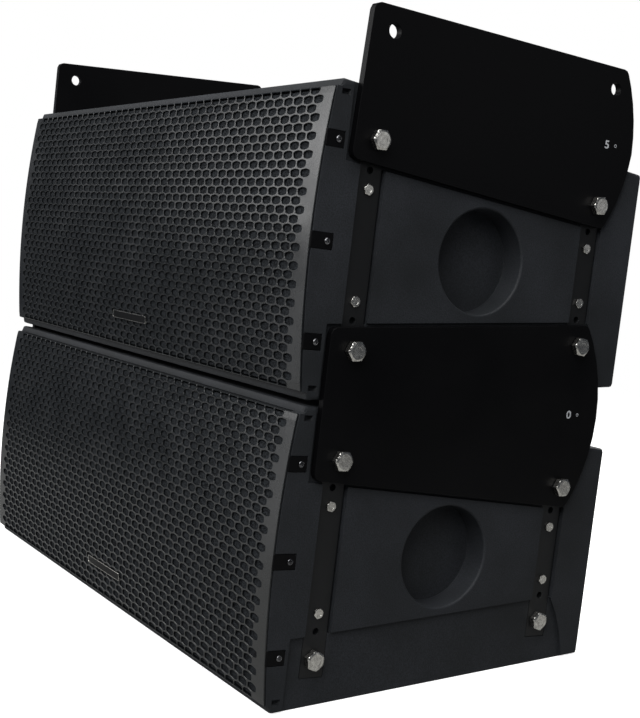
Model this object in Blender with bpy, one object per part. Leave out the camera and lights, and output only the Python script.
"""Two-box line array: two wedge-shaped dual-woofer cabinets stacked on steel splay plates.

Array frame, used for every size below: X across, Y from the front lip back, Z up, with the
origin on the front lip plane, midway between the two cabinets. Each cabinet has its own
frame too, with Z measured from its mid plane. An empty leans the whole array back by the
wedge angle, so that the lower cabinet stands on its flat sloping floor at world Z = 0.
"""
import math

import bmesh
import bpy
from mathutils import Matrix, Vector

MM = 0.001

# ---- overall sizes -------------------------------------------------------------------
WIDTH = 770 * MM
FRONT_HEIGHT = 295 * MM
SIDE_DEPTH = 390 * MM
WEDGE_ANGLE = math.radians(4.7)
CABINET_GAP = 3.7 * MM
SPLAY_ANGLE = math.radians(5.0)
CLEARANCE = 0.4 * MM

# ---- cabinet walls -------------------------------------------------------------------
SIDE_WALL = 16 * MM
TOP_WALL = 12 * MM
REAR_WALL = 12 * MM
EDGE_ROUND = 4 * MM
LIP_THICKNESS = 8 * MM
LIP_DEPTH = 5 * MM

# ---- grille, foam and baffle ---------------------------------------------------------
GRILLE_PROUD = 6.3 * MM
GRILLE_BULGE = 8.5 * MM
GRILLE_THICKNESS = 1.5 * MM
GRILLE_INSET = 1.5 * MM
GRILLE_RETURN = 8 * MM
GRILLE_STEPS = 12
TAB_HEIGHT = 15 * MM
TAB_LENGTH = 9.5 * MM
TAB_SPACING = 92.4 * MM
FOAM_THICKNESS = 6 * MM
BAFFLE_SETBACK = 18 * MM
BAFFLE_THICKNESS = 15 * MM

# ---- woofers -------------------------------------------------------------------------
WOOFER_TOP_MARGIN = 22.5 * MM
WOOFER_EDGE_MARGIN = 8 * MM
WOOFER_FLANGE = 11 * MM
WOOFER_FLANGE_THICKNESS = 5 * MM
WOOFER_DEPTH = 82 * MM
CONE_TRAVEL_GAP = 0.5 * MM
CONE_STROKE = 5 * MM
BASKET_WALL = 3 * MM
SPIDER_SEAT_RADIUS = 55 * MM
COIL_GAP = 1.8 * MM
CONE_DEPTH = 46 * MM
CONE_WALL = 1.6 * MM
SURROUND_WIDTH = 14 * MM
COIL_RADIUS = 25 * MM
COIL_LENGTH = 45 * MM
MAGNET_RADIUS = 65 * MM
MAGNET_DEPTH = 38 * MM
ROUND_SEGMENTS = 24
POCKET_SEGMENTS = 36
HOLE_SEGMENTS = 16
SMALL_SEGMENTS = 10

# ---- high-frequency section ----------------------------------------------------------
HORN_WIDTH_SHARE = 0.4145
HORN_TOP_MARGIN = 35.5 * MM
HORN_FLANGE = 14 * MM
HORN_FLANGE_THICKNESS = 5 * MM
HORN_WALL = 3 * MM
HORN_DEPTH = 105 * MM
THROAT_RADIUS = 18 * MM
DRIVER_RADIUS = 58 * MM
DRIVER_DEPTH = 62 * MM

# ---- rigging: rails, plates and bolts --------------------------------------------------
RAIL_FRONT_Y = 43.5 * MM
RAIL_REAR_INSET = 62.5 * MM
RAIL_WIDTH = 26 * MM
RAIL_THICKNESS = 5 * MM
RAIL_SIDE_GAP = 0.5 * MM
RAIL_REAR_GAP = 2.5 * MM
RAIL_END_MARGIN = 18 * MM
BOLT_TOP_INSET = 50 * MM
SPARE_HOLE_DROP = 27.5 * MM
SPARE_HOLE_RADIUS = 3.5 * MM
PLATE_THICKNESS = 8 * MM
PLATE_FRONT_Y = 16.5 * MM
PLATE_EDGE_MARGIN = 22 * MM
PLATE_CORNER_INSET = 51 * MM
PLATE_NOSE_INSET = 21.5 * MM
PLATE_CORNER_ROUND = 7 * MM
RECESS_DEPTH = 3.5 * MM
RECESS_CLEARANCE = 3 * MM
BOLT_RADIUS = 6 * MM
BOLT_ACROSS_FLATS = 18 * MM
BOLT_HEAD_HEIGHT = 7.5 * MM
BOLT_REACH = 10.5 * MM
BOLT_HOLE_CLEARANCE = 0.7 * MM

# ---- hand pockets ----------------------------------------------------------------------
POCKET_SHIFT = 1 * MM
POCKET_RADIUS = 52 * MM
POCKET_DEPTH = 28 * MM
POCKET_WALL = 5 * MM

# ---- rear connector plate and crossover --------------------------------------------------
CONNECTOR_WIDTH = 150 * MM
CONNECTOR_HEIGHT = 86 * MM
CONNECTOR_THICKNESS = 3 * MM
CONNECTOR_RIM = 10 * MM
SOCKET_SPACING = 60 * MM
SOCKET_FLANGE = 30 * MM
SOCKET_FLANGE_THICKNESS = 2.5 * MM
SOCKET_RADIUS = 13 * MM
SOCKET_BORE = 9.5 * MM
SOCKET_DEPTH = 24 * MM
SOCKET_FLOOR = 4 * MM
BOARD_WIDTH = 150 * MM
BOARD_HEIGHT = 96 * MM
BOARD_THICKNESS = 2 * MM
BOARD_STANDOFF = 8 * MM
BOARD_OFFSET = 190 * MM
COIL_HEIGHT = 30 * MM
INDUCTOR_RADIUS = 20 * MM
CAPACITOR_RADIUS = 10 * MM

# ---- worked-out places -------------------------------------------------------------------
HALF_WIDTH = WIDTH / 2
PITCH = FRONT_HEIGHT + CABINET_GAP
TAPER = math.tan(WEDGE_ANGLE)
INNER_HALF_WIDTH = HALF_WIDTH - SIDE_WALL
LIP_HALF = FRONT_HEIGHT / 2 - LIP_THICKNESS
GRILLE_HALF = LIP_HALF - CLEARANCE
RAIL_REAR_Y = SIDE_DEPTH - RAIL_REAR_INSET
RAIL_SPACING = RAIL_REAR_Y - RAIL_FRONT_Y
BOLT_FRONT_Z = FRONT_HEIGHT / 2 - BOLT_TOP_INSET
BOLT_REAR_Z = BOLT_FRONT_Z - RAIL_SPACING * TAPER
RAIL_LINES = (("front", RAIL_FRONT_Y, BOLT_FRONT_Z), ("rear", RAIL_REAR_Y, BOLT_REAR_Z))
SIDES = (("left", -1), ("right", 1))
CABINETS = (("lower", -PITCH / 2), ("upper", PITCH / 2))
PLATE_CORNER_Y = SIDE_DEPTH - PLATE_CORNER_INSET
PLATE_NOSE_Y = SIDE_DEPTH - PLATE_NOSE_INSET
POCKET_Y = (RAIL_FRONT_Y + RAIL_REAR_Y) / 2 + POCKET_SHIFT
WOOFER_RADIUS = FRONT_HEIGHT / 2 - WOOFER_TOP_MARGIN
WOOFER_X = INNER_HALF_WIDTH - WOOFER_EDGE_MARGIN - WOOFER_RADIUS
HORN_HALF_WIDTH = HORN_WIDTH_SHARE * (WOOFER_X - WOOFER_RADIUS)
HORN_HALF_HEIGHT = FRONT_HEIGHT / 2 - HORN_TOP_MARGIN
BAFFLE_BACK = BAFFLE_SETBACK + BAFFLE_THICKNESS
RIM_RADIUS = WOOFER_RADIUS - WOOFER_FLANGE
BASKET_RADIUS = RIM_RADIUS + BASKET_WALL
RAIL_FACE_X = HALF_WIDTH - RECESS_DEPTH
PLATE_FACE_X = RAIL_FACE_X + CLEARANCE + PLATE_THICKNESS


def half_height(y):
    """Half the outside height of a cabinet at depth y."""
    return FRONT_HEIGHT / 2 - max(y, 0) * TAPER


# ---- scene, materials and mesh helpers -----------------------------------------------------
for old in list(bpy.data.objects):
    bpy.data.objects.remove(old, do_unlink=True)

SCENE = bpy.context.scene.collection


def make_material(name, color, roughness, metallic=0.0):
    """A plain Principled material."""
    material = bpy.data.materials.new(name)
    material.use_nodes = True
    shader = material.node_tree.nodes["Principled BSDF"]
    shader.inputs["Base Color"].default_value = (*color, 1.0)
    shader.inputs["Roughness"].default_value = roughness
    shader.inputs["Metallic"].default_value = metallic
    material.diffuse_color = (*color, 1.0)
    return material


MATERIALS = {
    "enclosure": make_material("enclosure paint", (0.020, 0.021, 0.024), 0.55),
    "baffle": make_material("baffle paint", (0.012, 0.012, 0.012), 0.8),
    "grille": make_material("grille steel", (0.022, 0.024, 0.026), 0.4, 0.3),
    "foam": make_material("grille foam", (0.030, 0.032, 0.034), 0.95),
    "rigging": make_material("rigging steel", (0.008, 0.009, 0.010), 0.45, 0.3),
    "bolt": make_material("zinc plate", (0.70, 0.70, 0.68), 0.3, 1.0),
    "basket": make_material("basket steel", (0.020, 0.020, 0.020), 0.6, 0.3),
    "cone": make_material("cone paper", (0.018, 0.018, 0.018), 0.85),
    "magnet": make_material("magnet steel", (0.10, 0.10, 0.11), 0.5, 0.6),
    "horn": make_material("horn plastic", (0.015, 0.015, 0.015), 0.4),
    "board": make_material("crossover board", (0.02, 0.10, 0.04), 0.5),
    "socket": make_material("socket plastic", (0.012, 0.012, 0.013), 0.35),
}

# The stand leans the array back and puts the middle of the lower floor at the origin.
floor_point = Vector((0, SIDE_DEPTH / 2, -PITCH / 2 - half_height(SIDE_DEPTH / 2)))
stand = bpy.data.objects.new("array_stand", None)
SCENE.objects.link(stand)
lean = Matrix.Rotation(-WEDGE_ANGLE, 4, "X")
stand.matrix_world = lean @ Matrix.Translation(-floor_point)


def add_object(name, bm, slot, place=(0, 0, 0), smooth=False):
    """Turn a bmesh into a named object on the stand, with its faces pointing out."""
    bmesh.ops.recalc_face_normals(bm, faces=bm.faces)
    mesh = bpy.data.meshes.new(name)
    bm.to_mesh(mesh)
    bm.free()
    mesh.materials.append(MATERIALS[slot])
    if smooth:
        mesh.shade_smooth()
        mesh.set_sharp_from_angle(angle=math.radians(35))
    obj = bpy.data.objects.new(name, mesh)
    SCENE.objects.link(obj)
    obj.parent = stand
    obj.location = place
    return obj


def add_cutter(name, bm, place=(0, 0, 0)):
    """A guide solid that only cuts or joins others."""
    cutter = add_object(name, bm, "enclosure", place)
    cutter.hide_render = True
    cutter.display_type = "WIRE"
    return cutter


def boolean(obj, cutter, operation="DIFFERENCE"):
    """Add an exact Boolean to an object."""
    modifier = obj.modifiers.new(cutter.name, "BOOLEAN")
    modifier.operation = operation
    modifier.solver = "EXACT"
    modifier.object = cutter


def add_box(bm, low, high):
    """A box from its lowest to its highest corner."""
    size = [b - a for a, b in zip(low, high)]
    centre = [(a + b) / 2 for a, b in zip(low, high)]
    matrix = Matrix.Translation(centre) @ Matrix.Diagonal((*size, 1))
    bmesh.ops.create_cube(bm, size=1, matrix=matrix)


def add_prism(bm, outline, x_low, x_high):
    """An outline of (y, z) points carried along X."""
    ring = [bm.verts.new((x_low, y, z)) for y, z in outline]
    face = bm.faces.new(ring)
    moved = bmesh.ops.extrude_face_region(bm, geom=[face])["geom"]
    verts = [item for item in moved if isinstance(item, bmesh.types.BMVert)]
    bmesh.ops.translate(bm, verts=verts, vec=(x_high - x_low, 0, 0))


def add_cylinder(bm, centre, radius, length, axis, segments):
    """A cylinder about its centre, along X or Y."""
    turn = Matrix.Rotation(math.pi / 2, 4, "Y" if axis == "X" else "X")
    matrix = Matrix.Translation(centre) @ turn
    bmesh.ops.create_cone(
        bm, cap_ends=True, segments=segments, radius1=radius, radius2=radius, depth=length, matrix=matrix
    )


def add_turned(bm, outline, segments=ROUND_SEGMENTS):
    """A closed outline of (radius, y) points spun about the Y axis."""
    rings = []
    for radius, y in outline:
        if radius == 0:
            rings.append([bm.verts.new((0, y, 0))])
            continue
        angles = [2 * math.pi * i / segments for i in range(segments)]
        rings.append([bm.verts.new((radius * math.cos(a), y, radius * math.sin(a))) for a in angles])
    on_axis = outline[0][0] == 0
    count = len(rings) - 1 if on_axis else len(rings)
    for i in range(count):
        first, second = rings[i], rings[(i + 1) % len(rings)]
        for j in range(segments):
            k = (j + 1) % segments
            corners = [first[j % len(first)], first[k % len(first)], second[k % len(second)], second[j % len(second)]]
            unique = list(dict.fromkeys(corners))
            bm.faces.new(unique)


def rounded(points, radius, steps=2):
    """An outline with each corner turned into an arc of the given radius."""
    result = []
    count = len(points)
    for i, (y, z) in enumerate(points):
        corner = Vector((y, z))
        before = (Vector(points[i - 1]) - corner).normalized()
        after = (Vector(points[(i + 1) % count]) - corner).normalized()
        half = before.angle(after) / 2
        if math.pi - 2 * half < math.radians(15):
            result.append((y, z))
            continue
        centre = corner + (before + after).normalized() * radius / math.sin(half)
        start = corner + before * radius / math.tan(half) - centre
        end = corner + after * radius / math.tan(half) - centre
        for step in range(steps + 1):
            spoke = start.lerp(end, step / steps).normalized() * radius
            result.append(tuple(centre + spoke))
    return result


# ---- rigging plate outline -----------------------------------------------------------------
def plate_edge_z(y, margin):
    """Height of a plate's sloping edge below the pivot line, at depth y."""
    bolt_line = BOLT_FRONT_Z - (y - RAIL_FRONT_Y) * TAPER - PITCH / 2
    return bolt_line - margin / math.cos(WEDGE_ANGLE)


def nose_points(grow, bisector, steps=5):
    """The rear arc from the rear corner up to the bisector line through the pivot."""
    corner_z = plate_edge_z(PLATE_CORNER_Y, PLATE_EDGE_MARGIN)
    sagitta = PLATE_NOSE_Y - PLATE_CORNER_Y
    radius = (corner_z ** 2 + sagitta ** 2) / (2 * sagitta)
    centre_y = PLATE_NOSE_Y - radius
    low = math.asin(corner_z / radius)
    high = -bisector * PLATE_NOSE_Y / radius
    angles = [low + (high - low) * i / steps for i in range(steps + 1)]
    reach = radius + grow
    return [(centre_y + reach * math.cos(a), reach * math.sin(a)) for a in angles]


def half_plate(grow, bisector):
    """Front and sloping edge and nose of the half of a plate below its bisector."""
    margin = PLATE_EDGE_MARGIN + grow
    front_y = PLATE_FRONT_Y - grow
    corner_y = PLATE_CORNER_Y + grow / 2
    front = (front_y, plate_edge_z(front_y, margin))
    rear = (corner_y, plate_edge_z(corner_y, margin))
    return [front, rear] + nose_points(grow, bisector)[1:]


def plate_outline(angle):
    """Whole plate: the lower half and its mirror image in the bisector of the splay."""
    lower = half_plate(0, angle / 2)
    axis = Vector((math.cos(-angle / 2), math.sin(-angle / 2)))
    upper = []
    for point in reversed(lower[:-1]):
        mirrored = 2 * Vector(point).dot(axis) * axis - Vector(point)
        upper.append(tuple(mirrored))
    return rounded(lower + upper, PLATE_CORNER_ROUND)


def recess_outline():
    """The pocket that a plate lies in, in a cabinet's own frame, at its top edge."""
    beyond = FRONT_HEIGHT / 2
    half = half_plate(RECESS_CLEARANCE, 0)
    shape = [(y, z + PITCH / 2) for y, z in half]
    shape.append((shape[-1][0], beyond + SIDE_WALL))
    shape.insert(0, (shape[0][0], beyond + SIDE_WALL))
    return shape


def splay_point(y, z, angle):
    """A bolt place on the upper cabinet, seen from the lower one across a splay angle."""
    turn = Matrix.Rotation(-angle, 2)
    moved = turn @ Vector((y, z))
    return (moved.x, moved.y)


# ---- enclosure -----------------------------------------------------------------------------
def grille_y(z):
    """Front face of the grille at height z in a cabinet."""
    share = min(abs(z) / GRILLE_HALF, 1)
    return -GRILLE_PROUD - GRILLE_BULGE * (1 - share ** 2)


def arc_heights(limit):
    """Evenly spaced heights for the curved grille and cheeks."""
    return [limit * (2 * i / GRILLE_STEPS - 1) for i in range(GRILLE_STEPS + 1)]


def enclosure_outline():
    """Side view of the outer shell: wedge body, lips and the curved cheek edge."""
    cheek = [(grille_y(z) + GRILLE_THICKNESS + CLEARANCE, z) for z in arc_heights(LIP_HALF)]
    body = [(0, LIP_HALF), (0, FRONT_HEIGHT / 2), (SIDE_DEPTH, half_height(SIDE_DEPTH))]
    floor = [(SIDE_DEPTH, -half_height(SIDE_DEPTH)), (0, -FRONT_HEIGHT / 2), (0, -LIP_HALF)]
    return cheek + body + floor


def make_cavity(name, place):
    """The inside of the box, with a thick boss left round each hand pocket."""
    inner_back = SIDE_DEPTH - REAR_WALL
    front_z = half_height(LIP_DEPTH) - TOP_WALL
    back_z = half_height(inner_back) - TOP_WALL
    ahead = -GRILLE_PROUD - GRILLE_BULGE - SIDE_WALL
    outline = [(ahead, -LIP_HALF), (LIP_DEPTH, -LIP_HALF), (LIP_DEPTH, -front_z), (inner_back, -back_z)]
    outline += [(inner_back, back_z), (LIP_DEPTH, front_z), (LIP_DEPTH, LIP_HALF), (ahead, LIP_HALF)]
    shell = bmesh.new()
    add_prism(shell, outline, -INNER_HALF_WIDTH, INNER_HALF_WIDTH)
    cavity = add_cutter(f"{name}_cavity", shell, place)
    bosses = bmesh.new()
    length = 2 * (POCKET_DEPTH + POCKET_WALL)
    for _, sign in SIDES:
        add_cylinder(bosses, (sign * HALF_WIDTH, POCKET_Y, 0), POCKET_RADIUS + POCKET_WALL, length, "X", ROUND_SEGMENTS)
    boolean(cavity, add_cutter(f"{name}_bosses", bosses, place))
    return cavity


def recess_cuts():
    """Four plate recesses: top and bottom on both sides."""
    bm = bmesh.new()
    outline = recess_outline()
    for _, sign in SIDES:
        for up in (1, -1):
            shape = [(y, up * z) for y, z in outline]
            add_prism(bm, shape, sign * RAIL_FACE_X, sign * (HALF_WIDTH + SIDE_WALL))
    return bm


def channel_cuts():
    """Four rail channels, a little wider behind the rail between the two recesses."""
    bm = bmesh.new()
    floor_x = RAIL_FACE_X - RAIL_THICKNESS - CLEARANCE
    for _, sign in SIDES:
        for _, y, bolt_z in RAIL_LINES:
            low_y = y - RAIL_WIDTH / 2 - RAIL_SIDE_GAP
            tab_y = y + RAIL_WIDTH / 2 + RAIL_SIDE_GAP
            high_y = y + RAIL_WIDTH / 2 + RAIL_REAR_GAP
            end = bolt_z + RAIL_END_MARGIN + RAIL_SIDE_GAP
            margin = PLATE_EDGE_MARGIN + RECESS_CLEARANCE
            open_z = plate_edge_z(y, margin) + PITCH / 2
            outline = [(low_y, -end), (tab_y, -end), (tab_y, -open_z), (high_y, -open_z)]
            outline += [(high_y, open_z), (tab_y, open_z), (tab_y, end), (low_y, end)]
            add_prism(bm, outline, sign * floor_x, sign * (HALF_WIDTH + SIDE_WALL))
    return bm


def pocket_cuts():
    """The two round hand pockets."""
    bm = bmesh.new()
    for _, sign in SIDES:
        add_cylinder(bm, (sign * HALF_WIDTH, POCKET_Y, 0), POCKET_RADIUS, 2 * POCKET_DEPTH, "X", POCKET_SEGMENTS)
    return bm


def bolt_cuts():
    """Blind clearance bores behind the rails for the bolt ends."""
    bm = bmesh.new()
    length = 2 * (BOLT_REACH + CLEARANCE * 2)
    radius = BOLT_RADIUS + BOLT_HOLE_CLEARANCE
    for _, sign in SIDES:
        for _, y, z in RAIL_LINES:
            for up in (1, -1):
                add_cylinder(bm, (sign * RAIL_FACE_X, y, up * z), radius, length, "X", HOLE_SEGMENTS)
    return bm


def tab_cuts():
    """Shallow side pockets that the grille's fixing tabs lie in."""
    bm = bmesh.new()
    depth = GRILLE_THICKNESS + CLEARANCE
    for _, sign in SIDES:
        for row in (-1, 0, 1):
            z = row * TAB_SPACING
            half = TAB_HEIGHT / 2 + CLEARANCE
            front = -GRILLE_PROUD - GRILLE_BULGE - SIDE_WALL
            low = (sign * (HALF_WIDTH - depth), front, z - half)
            high = (sign * (HALF_WIDTH + SIDE_WALL), TAB_LENGTH + CLEARANCE, z + half)
            add_box(bm, low, high)
    return bm


def connector_seat_cut():
    """Shallow seat for the connector plate in the rear wall."""
    bm = bmesh.new()
    half_x = CONNECTOR_WIDTH / 2 + CLEARANCE
    half_z = CONNECTOR_HEIGHT / 2 + CLEARANCE
    seat_y = SIDE_DEPTH - CONNECTOR_THICKNESS - CLEARANCE
    add_box(bm, (-half_x, seat_y, -half_z), (half_x, SIDE_DEPTH + REAR_WALL, half_z))
    return bm


def connector_hole_cut():
    """Opening through the rear wall behind the connector plate."""
    bm = bmesh.new()
    half_x = CONNECTOR_WIDTH / 2 - CONNECTOR_RIM
    half_z = CONNECTOR_HEIGHT / 2 - CONNECTOR_RIM
    add_box(bm, (-half_x, SIDE_DEPTH - 2 * REAR_WALL, -half_z), (half_x, SIDE_DEPTH + REAR_WALL, half_z))
    return bm


def make_enclosure(name, place):
    """One shell: the wedge body with its inside, side relief and rear opening cut away."""
    bm = bmesh.new()
    add_prism(bm, enclosure_outline(), -HALF_WIDTH, HALF_WIDTH)
    sharp = [edge for edge in bm.edges if edge.calc_face_angle(0) > math.radians(40)]
    outer = []
    for edge in sharp:
        behind_lip = all(v.co.y > -CLEARANCE for v in edge.verts)
        outside = max(abs(v.co.z) for v in edge.verts) > LIP_HALF + CLEARANCE
        if behind_lip and outside:
            outer.append(edge)
    bmesh.ops.bevel(bm, geom=outer, offset=EDGE_ROUND, segments=2, affect="EDGES", profile=0.5)
    shell = add_object(name, bm, "enclosure", place)
    boolean(shell, make_cavity(name, place))
    cuts = {
        "recesses": recess_cuts(),
        "channels": channel_cuts(),
        "pockets": pocket_cuts(),
        "bolt_bores": bolt_cuts(),
        "tab_seats": tab_cuts(),
        "connector_seat": connector_seat_cut(),
        "connector_hole": connector_hole_cut(),
    }
    for label, cut in cuts.items():
        boolean(shell, add_cutter(f"{name}_{label}", cut, place))


# ---- grille and foam -------------------------------------------------------------------------
def curved_sheet(front_offset, thickness, limit):
    """Side view of a sheet that follows the grille's curve."""
    heights = arc_heights(limit)
    front = [(grille_y(z) + front_offset, z) for z in heights]
    back = [(grille_y(z) + front_offset + thickness, z) for z in reversed(heights)]
    return front + back


def make_grille(name, place):
    """Curved steel sheet with a return along its top and bottom and three tabs each side."""
    back_y = -GRILLE_PROUD + GRILLE_RETURN
    edge = GRILLE_HALF - GRILLE_THICKNESS
    front = [(grille_y(z), z) for z in arc_heights(GRILLE_HALF)]
    inner = [(grille_y(z) + GRILLE_THICKNESS, z) for z in arc_heights(edge)]
    outline = front + [(back_y, GRILLE_HALF), (back_y, edge)] + inner[::-1] + [(back_y, -edge), (back_y, -GRILLE_HALF)]
    returns = bmesh.new()
    add_prism(returns, outline, -INNER_HALF_WIDTH + CLEARANCE, INNER_HALF_WIDTH - CLEARANCE)
    grille = add_object(name, returns, "grille", place)
    sheet = bmesh.new()
    half_x = HALF_WIDTH - GRILLE_INSET
    add_prism(sheet, curved_sheet(0, GRILLE_THICKNESS, GRILLE_HALF), -half_x, half_x)
    boolean(grille, add_cutter(f"{name}_face", sheet, place), "UNION")
    tabs = bmesh.new()
    for _, sign in SIDES:
        for row in (-1, 0, 1):
            z = row * TAB_SPACING
            front_y = grille_y(abs(z) + TAB_HEIGHT / 2) + GRILLE_THICKNESS / 2
            low = (sign * (HALF_WIDTH - GRILLE_THICKNESS), front_y, z - TAB_HEIGHT / 2)
            high = (sign * HALF_WIDTH, TAB_LENGTH, z + TAB_HEIGHT / 2)
            add_box(tabs, low, high)
    boolean(grille, add_cutter(f"{name}_tabs", tabs, place), "UNION")


def make_foam(name, place):
    """Acoustic foam sheet close behind the grille."""
    bm = bmesh.new()
    outline = curved_sheet(GRILLE_THICKNESS + CLEARANCE, FOAM_THICKNESS, GRILLE_HALF - 2 * GRILLE_THICKNESS)
    half_x = INNER_HALF_WIDTH - 2 * CLEARANCE
    add_prism(bm, outline, -half_x, half_x)
    add_object(name, bm, "foam", place)


# ---- baffle ------------------------------------------------------------------------------------
def make_baffle(name, place):
    """Front board with two woofer holes and the horn slot."""
    bm = bmesh.new()
    front_z = half_height(BAFFLE_SETBACK) - TOP_WALL - 2 * CLEARANCE
    back_z = half_height(BAFFLE_BACK) - TOP_WALL - 2 * CLEARANCE
    outline = [(BAFFLE_SETBACK, -front_z), (BAFFLE_BACK, -back_z), (BAFFLE_BACK, back_z), (BAFFLE_SETBACK, front_z)]
    half_x = INNER_HALF_WIDTH - CLEARANCE
    add_prism(bm, outline, -half_x, half_x)
    baffle = add_object(name, bm, "baffle", place)
    holes = bmesh.new()
    middle_y = (BAFFLE_SETBACK + BAFFLE_BACK) / 2
    for _, sign in SIDES:
        centre = (sign * WOOFER_X, middle_y, 0)
        add_cylinder(holes, centre, BASKET_RADIUS + 2 * CLEARANCE, 2 * BAFFLE_THICKNESS, "Y", ROUND_SEGMENTS)
    half_x = HORN_HALF_WIDTH + HORN_WALL + 2 * CLEARANCE
    half_z = HORN_HALF_HEIGHT + HORN_WALL + 2 * CLEARANCE
    add_box(holes, (-half_x, 0, -half_z), (half_x, BAFFLE_BACK + BAFFLE_THICKNESS, half_z))
    boolean(baffle, add_cutter(f"{name}_holes", holes, place))


# ---- woofers -----------------------------------------------------------------------------------
def add_basket(name, place):
    """Pressed steel frame: mounting flange, windowed bowl and a ring for the magnet."""
    bowl_y = 2 * WOOFER_FLANGE_THICKNESS + CONE_STROKE
    seat = SPIDER_SEAT_RADIUS
    outline = [
        (RIM_RADIUS, -WOOFER_FLANGE_THICKNESS),
        (WOOFER_RADIUS, -WOOFER_FLANGE_THICKNESS),
        (WOOFER_RADIUS, 0),
        (BASKET_RADIUS, 0),
        (BASKET_RADIUS, bowl_y),
        (seat + BASKET_WALL, WOOFER_DEPTH),
        (COIL_RADIUS + BASKET_WALL, WOOFER_DEPTH),
        (COIL_RADIUS + BASKET_WALL, WOOFER_DEPTH - BASKET_WALL),
        (seat, WOOFER_DEPTH - BASKET_WALL),
        (RIM_RADIUS, bowl_y - BASKET_WALL),
    ]
    bm = bmesh.new()
    add_turned(bm, outline)
    basket = add_object(name, bm, "basket", place, smooth=True)
    windows = bmesh.new()
    low_y = bowl_y + BASKET_WALL
    high_y = WOOFER_DEPTH - 3 * BASKET_WALL
    for low, high in (((-1, 0), (1, 0)), ((0, -1), (0, 1))):
        half_x = WOOFER_RADIUS if low[0] else seat / 2
        half_z = WOOFER_RADIUS if low[1] else seat / 2
        add_box(windows, (-half_x, low_y, -half_z), (half_x, high_y, half_z))
    boolean(basket, add_cutter(f"{name}_windows", windows, place))


def add_cone(name, place):
    """Moving assembly: half-roll surround, cone, dust cap and voice coil tube."""
    edge = RIM_RADIUS - CONE_TRAVEL_GAP
    roll = edge - SURROUND_WIDTH
    neck_y = CONE_DEPTH
    cap = COIL_RADIUS + 4 * CONE_WALL
    outline = [
        (edge, 0),
        (edge - SURROUND_WIDTH / 2, -SURROUND_WIDTH / 3),
        (roll, 0),
        (cap, neck_y - 2 * CONE_WALL),
        (cap / 2, neck_y - 7 * CONE_WALL),
        (0, neck_y - 8 * CONE_WALL),
        (0, neck_y - 7 * CONE_WALL),
        (cap / 2, neck_y - 6 * CONE_WALL),
        (COIL_RADIUS - CONE_WALL / 2, neck_y),
        (COIL_RADIUS - CONE_WALL / 2, neck_y + COIL_LENGTH),
        (COIL_RADIUS + CONE_WALL / 2, neck_y + COIL_LENGTH),
        (COIL_RADIUS + CONE_WALL / 2, neck_y + CONE_WALL),
        (roll, 1.5 * CONE_WALL),
        (edge - SURROUND_WIDTH / 2, -SURROUND_WIDTH / 3 + CONE_WALL),
        (edge, CONE_WALL),
    ]
    bm = bmesh.new()
    add_turned(bm, outline[6:] + outline[:6])
    add_object(name, bm, "cone", place, smooth=True)


def add_magnet(name, place):
    """Magnet and pole piece with the ring-shaped gap that the voice coil runs in."""
    near = WOOFER_DEPTH + CLEARANCE
    gap_depth = near + COIL_LENGTH / 2
    outline = [
        (0, near - BASKET_WALL),
        (COIL_RADIUS - COIL_GAP, near - BASKET_WALL),
        (COIL_RADIUS - COIL_GAP, gap_depth),
        (COIL_RADIUS + COIL_GAP, gap_depth),
        (COIL_RADIUS + COIL_GAP, near),
        (MAGNET_RADIUS, near),
        (MAGNET_RADIUS, near + MAGNET_DEPTH),
        (0, near + MAGNET_DEPTH),
    ]
    bm = bmesh.new()
    add_turned(bm, outline)
    add_object(name, bm, "magnet", place, smooth=True)


def make_woofers(prefix, centre_z):
    """The two woofers of a cabinet, each with its origin on its own axis."""
    face_y = BAFFLE_SETBACK - CLEARANCE
    for side, sign in SIDES:
        place = (sign * WOOFER_X, face_y, centre_z)
        add_basket(f"{prefix}_woofer_frame_{side}", place)
        add_cone(f"{prefix}_woofer_cone_{side}", place)
        add_magnet(f"{prefix}_woofer_magnet_{side}", place)


# ---- high-frequency horn and driver --------------------------------------------------------------
def horn_ring(bm, share, grow, y):
    """One section of the horn: a rounded slot at the mouth easing into a circle at the throat."""
    half_x = THROAT_RADIUS + (HORN_HALF_WIDTH - THROAT_RADIUS) * share + grow
    half_z = THROAT_RADIUS + (HORN_HALF_HEIGHT - THROAT_RADIUS) * share + grow
    power = 2 / (2 + 6 * share)
    ring = []
    for i in range(ROUND_SEGMENTS):
        angle = 2 * math.pi * (i + 0.5) / ROUND_SEGMENTS
        cosine, sine = math.cos(angle), math.sin(angle)
        x = half_x * math.copysign(abs(cosine) ** power, cosine)
        z = half_z * math.copysign(abs(sine) ** power, sine)
        ring.append(bm.verts.new((x, y, z)))
    return ring


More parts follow.
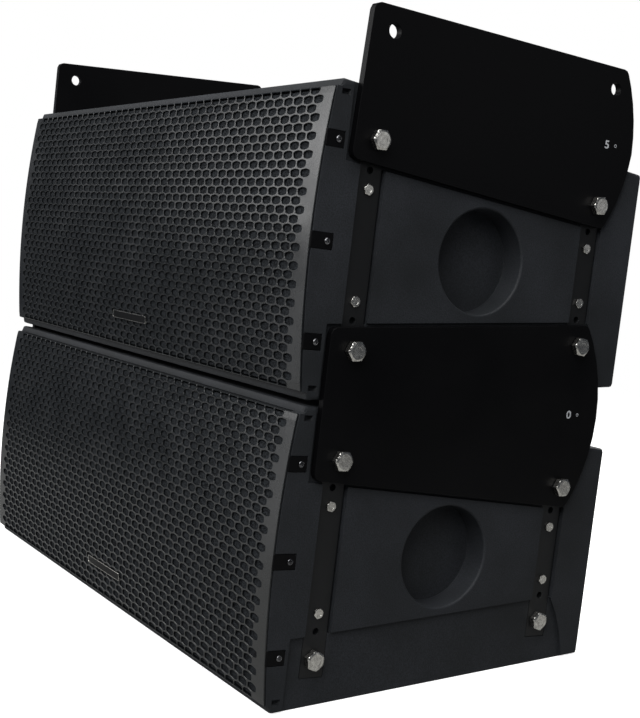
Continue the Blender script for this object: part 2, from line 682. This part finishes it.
def make_horn(name, place):
    """Hollow waveguide, open at its mouth and throat, with a flange on the baffle."""
    bm = bmesh.new()
    steps = 4
    rings = []
    for i in range(steps + 1):
        share = (i / steps) ** 1.4
        rings.append(horn_ring(bm, share, HORN_WALL, HORN_DEPTH * (1 - i / steps)))
    for i in range(steps, -1, -1):
        share = (i / steps) ** 1.4
        y = HORN_DEPTH * (1 - i / steps) - (HORN_FLANGE_THICKNESS if i == steps else 0)
        rings.append(horn_ring(bm, share, 0, y))
    for first, second in zip(rings, rings[1:] + rings[:1]):
        for j in range(ROUND_SEGMENTS):
            k = (j + 1) % ROUND_SEGMENTS
            bm.faces.new((first[j], first[k], second[k], second[j]))
    horn = add_object(name, bm, "horn", place, smooth=True)
    flange = bmesh.new()
    half_x = HORN_HALF_WIDTH + HORN_FLANGE
    half_z = HORN_HALF_HEIGHT + HORN_FLANGE
    add_box(flange, (-half_x, -HORN_FLANGE_THICKNESS, -half_z), (half_x, 0, half_z))
    plate = add_cutter(f"{name}_flange", flange, place)
    mouth = bmesh.new()
    outer = horn_ring(mouth, 1, 0, -2 * HORN_FLANGE_THICKNESS)
    moved = bmesh.ops.extrude_face_region(mouth, geom=[mouth.faces.new(outer)])["geom"]
    verts = [item for item in moved if isinstance(item, bmesh.types.BMVert)]
    bmesh.ops.translate(mouth, verts=verts, vec=(0, 3 * HORN_FLANGE_THICKNESS, 0))
    boolean(plate, add_cutter(f"{name}_mouth", mouth, place))
    boolean(horn, plate, "UNION")


def make_driver(name, place):
    """Compression driver: stepped round body behind the throat."""
    neck = THROAT_RADIUS + 2 * HORN_WALL
    outline = [
        (0, 0),
        (neck, 0),
        (neck, 2 * HORN_WALL),
        (DRIVER_RADIUS, 2 * HORN_WALL),
        (DRIVER_RADIUS, DRIVER_DEPTH * 0.4),
        (DRIVER_RADIUS * 0.8, DRIVER_DEPTH * 0.45),
        (DRIVER_RADIUS * 0.8, DRIVER_DEPTH),
        (0, DRIVER_DEPTH),
    ]
    bm = bmesh.new()
    add_turned(bm, outline)
    add_object(name, bm, "magnet", place, smooth=True)


# ---- crossover and connectors ----------------------------------------------------------------------
def make_crossover(name, place):
    """Circuit board on four posts with two coils and three capacitors."""
    board = bmesh.new()
    add_box(board, (-BOARD_WIDTH / 2, 0, -BOARD_HEIGHT / 2), (BOARD_WIDTH / 2, BOARD_THICKNESS, BOARD_HEIGHT / 2))
    obj = add_object(name, board, "board", place)
    fittings = bmesh.new()
    sink = BOARD_THICKNESS / 2
    for column in (-1, 1):
        for row in (-1, 1):
            x = column * (BOARD_WIDTH / 2 - BOARD_STANDOFF)
            z = row * (BOARD_HEIGHT / 2 - BOARD_STANDOFF)
            post = (x, sink + BOARD_STANDOFF / 2, z)
            add_cylinder(fittings, post, BOARD_STANDOFF / 2, BOARD_STANDOFF, "Y", SMALL_SEGMENTS)
    for column in (-1, 1):
        x = column * BOARD_WIDTH / 5
        coil = (x, sink - COIL_HEIGHT / 2, BOARD_HEIGHT / 5)
        add_cylinder(fittings, coil, INDUCTOR_RADIUS, COIL_HEIGHT, "Y", HOLE_SEGMENTS)
    for column in (-1, 0, 1):
        x = column * BOARD_WIDTH / 5
        capacitor = (x, sink - COIL_HEIGHT / 2, -BOARD_HEIGHT / 4)
        add_cylinder(fittings, capacitor, CAPACITOR_RADIUS, COIL_HEIGHT, "Y", SMALL_SEGMENTS)
    boolean(obj, add_cutter(f"{name}_fittings", fittings, place), "UNION")


def make_connector_plate(name, place):
    """Steel plate let into the rear wall, with a round hole for each socket."""
    bm = bmesh.new()
    half_x = CONNECTOR_WIDTH / 2
    half_z = CONNECTOR_HEIGHT / 2
    add_box(bm, (-half_x, 0, -half_z), (half_x, CONNECTOR_THICKNESS, half_z))
    plate = add_object(name, bm, "rigging", place)
    holes = bmesh.new()
    for _, sign in SIDES:
        centre = (sign * SOCKET_SPACING / 2, 0, 0)
        add_cylinder(holes, centre, SOCKET_RADIUS + CLEARANCE, 4 * CONNECTOR_THICKNESS, "Y", ROUND_SEGMENTS)
    boolean(plate, add_cutter(f"{name}_holes", holes, place))


def make_socket(name, place):
    """Twist-lock speaker socket: square flange, round body and a deep round mouth."""
    bm = bmesh.new()
    body = [
        (0, SOCKET_FLOOR - SOCKET_DEPTH),
        (0, -SOCKET_DEPTH),
        (SOCKET_RADIUS, -SOCKET_DEPTH),
        (SOCKET_RADIUS, SOCKET_FLANGE_THICKNESS),
        (SOCKET_BORE, SOCKET_FLANGE_THICKNESS),
        (SOCKET_BORE, SOCKET_FLOOR - SOCKET_DEPTH),
    ]
    add_turned(bm, body[1:] + body[:1])
    socket = add_object(name, bm, "socket", place, smooth=True)
    flange = bmesh.new()
    half = SOCKET_FLANGE / 2
    add_box(flange, (-half, 0, -half), (half, SOCKET_FLANGE_THICKNESS, half))
    plate = add_cutter(f"{name}_flange", flange, place)
    mouth = bmesh.new()
    middle = (SOCKET_RADIUS + SOCKET_BORE) / 2
    add_cylinder(mouth, (0, 0, 0), middle, 4 * SOCKET_FLANGE_THICKNESS, "Y", ROUND_SEGMENTS)
    boolean(plate, add_cutter(f"{name}_mouth", mouth, place))
    boolean(socket, plate, "UNION")


# ---- rigging -----------------------------------------------------------------------------------------
def make_rails(prefix, centre_z):
    """Steel strips let into the sides, drilled for the plate bolts and spare holes."""
    for side, sign in SIDES:
        for label, y, bolt_z in RAIL_LINES:
            half = bolt_z + RAIL_END_MARGIN
            bm = bmesh.new()
            inner_x = sign * (RAIL_FACE_X - RAIL_THICKNESS)
            add_box(bm, (inner_x, y - RAIL_WIDTH / 2, -half), (sign * RAIL_FACE_X, y + RAIL_WIDTH / 2, half))
            name = f"{prefix}_rail_{label}_{side}"
            rail = add_object(name, bm, "rigging", (0, 0, centre_z))
            holes = bmesh.new()
            for up in (1, -1):
                centre = (sign * RAIL_FACE_X, y, up * bolt_z)
                add_cylinder(holes, centre, BOLT_RADIUS + CLEARANCE, 4 * RAIL_THICKNESS, "X", HOLE_SEGMENTS)
                spare = (sign * RAIL_FACE_X, y, up * (bolt_z - SPARE_HOLE_DROP))
                add_cylinder(holes, spare, SPARE_HOLE_RADIUS, 4 * RAIL_THICKNESS, "X", SMALL_SEGMENTS)
            boolean(rail, add_cutter(f"{name}_holes", holes, (0, 0, centre_z)))


def plate_holes(angle):
    """The four bolt holes of a plate: two on the cabinet below and two on the one above."""
    places = []
    for _, y, bolt_z in RAIL_LINES:
        places.append((y, bolt_z - PITCH / 2))
        places.append(splay_point(y, PITCH / 2 - bolt_z, angle))
    return places


def make_plate(name, sign, angle, centre_z):
    """Splay plate on one side, its outline set by the angle between the cabinets."""
    bm = bmesh.new()
    inner_x = RAIL_FACE_X + CLEARANCE
    add_prism(bm, plate_outline(angle), sign * inner_x, sign * PLATE_FACE_X)
    plate = add_object(name, bm, "rigging", (0, 0, centre_z))
    holes = bmesh.new()
    for y, z in plate_holes(angle):
        centre = (sign * PLATE_FACE_X, y, z)
        add_cylinder(holes, centre, BOLT_RADIUS + BOLT_HOLE_CLEARANCE, 4 * PLATE_THICKNESS, "X", HOLE_SEGMENTS)
    boolean(plate, add_cutter(f"{name}_holes", holes, (0, 0, centre_z)))


def make_bolt(name, sign, head_x, y, z):
    """Hexagon bolt with its head outside and its tip a fixed reach behind the rail face."""
    bm = bmesh.new()
    seat = sign * (head_x + CLEARANCE)
    crown = seat + sign * BOLT_HEAD_HEIGHT
    tip = sign * (RAIL_FACE_X - BOLT_REACH)
    corner = BOLT_ACROSS_FLATS / math.sqrt(3)
    add_cylinder(bm, ((seat + crown) / 2, 0, 0), corner, BOLT_HEAD_HEIGHT, "X", 6)
    bolt = add_object(name, bm, "bolt", (0, y, z))
    shank = bmesh.new()
    root = seat + sign * BOLT_HEAD_HEIGHT / 2
    add_cylinder(shank, ((root + tip) / 2, 0, 0), BOLT_RADIUS, abs(root - tip), "X", HOLE_SEGMENTS)
    boolean(bolt, add_cutter(f"{name}_shank", shank, (0, y, z)), "UNION")


def make_rigging():
    """All four plates and the sixteen bolts. The two plates on top are a straight and a splayed one."""
    lower_z, upper_z = (z for _, z in CABINETS)
    top_pivot = upper_z + PITCH / 2
    make_plate("splay_plate_0deg_top_left", -1, 0.0, top_pivot)
    make_plate("splay_plate_5deg_right", 1, SPLAY_ANGLE, top_pivot)
    for side, sign in SIDES:
        make_plate(f"splay_plate_0deg_{side}", sign, 0.0, 0.0)
        for label, y, bolt_z in RAIL_LINES:
            make_bolt(f"bolt_0deg_lower_{label}_{side}", sign, PLATE_FACE_X, y, lower_z + bolt_z)
            make_bolt(f"bolt_0deg_upper_{label}_{side}", sign, PLATE_FACE_X, y, upper_z - bolt_z)
            make_bolt(f"bolt_top_{label}_{side}", sign, PLATE_FACE_X, y, upper_z + bolt_z)
            make_bolt(f"bolt_base_{label}_{side}", sign, RAIL_FACE_X, y, lower_z - bolt_z)


# ---- assembly ------------------------------------------------------------------------------------------
def make_cabinet(prefix, centre_z):
    """Everything in one cabinet."""
    place = (0, 0, centre_z)
    face_y = BAFFLE_SETBACK - CLEARANCE
    make_enclosure(f"{prefix}_enclosure", place)
    make_grille(f"{prefix}_grille", place)
    make_foam(f"{prefix}_grille_foam", place)
    make_baffle(f"{prefix}_baffle", place)
    make_woofers(prefix, centre_z)
    make_horn(f"{prefix}_horn", (0, face_y, centre_z))
    make_driver(f"{prefix}_compression_driver", (0, face_y + HORN_DEPTH + CLEARANCE, centre_z))
    board_y = SIDE_DEPTH - REAR_WALL - CLEARANCE - BOARD_STANDOFF - BOARD_THICKNESS
    make_crossover(f"{prefix}_crossover_board", (BOARD_OFFSET, board_y, centre_z))
    plate_y = SIDE_DEPTH - CONNECTOR_THICKNESS
    make_connector_plate(f"{prefix}_connector_plate", (0, plate_y, centre_z))
    for label, sign in (("in", -1), ("link", 1)):
        place = (sign * SOCKET_SPACING / 2, SIDE_DEPTH + CLEARANCE, centre_z)
        make_socket(f"{prefix}_socket_{label}", place)
    make_rails(prefix, centre_z)


for cabinet, middle_z in CABINETS:
    make_cabinet(cabinet, middle_z)
make_rigging()
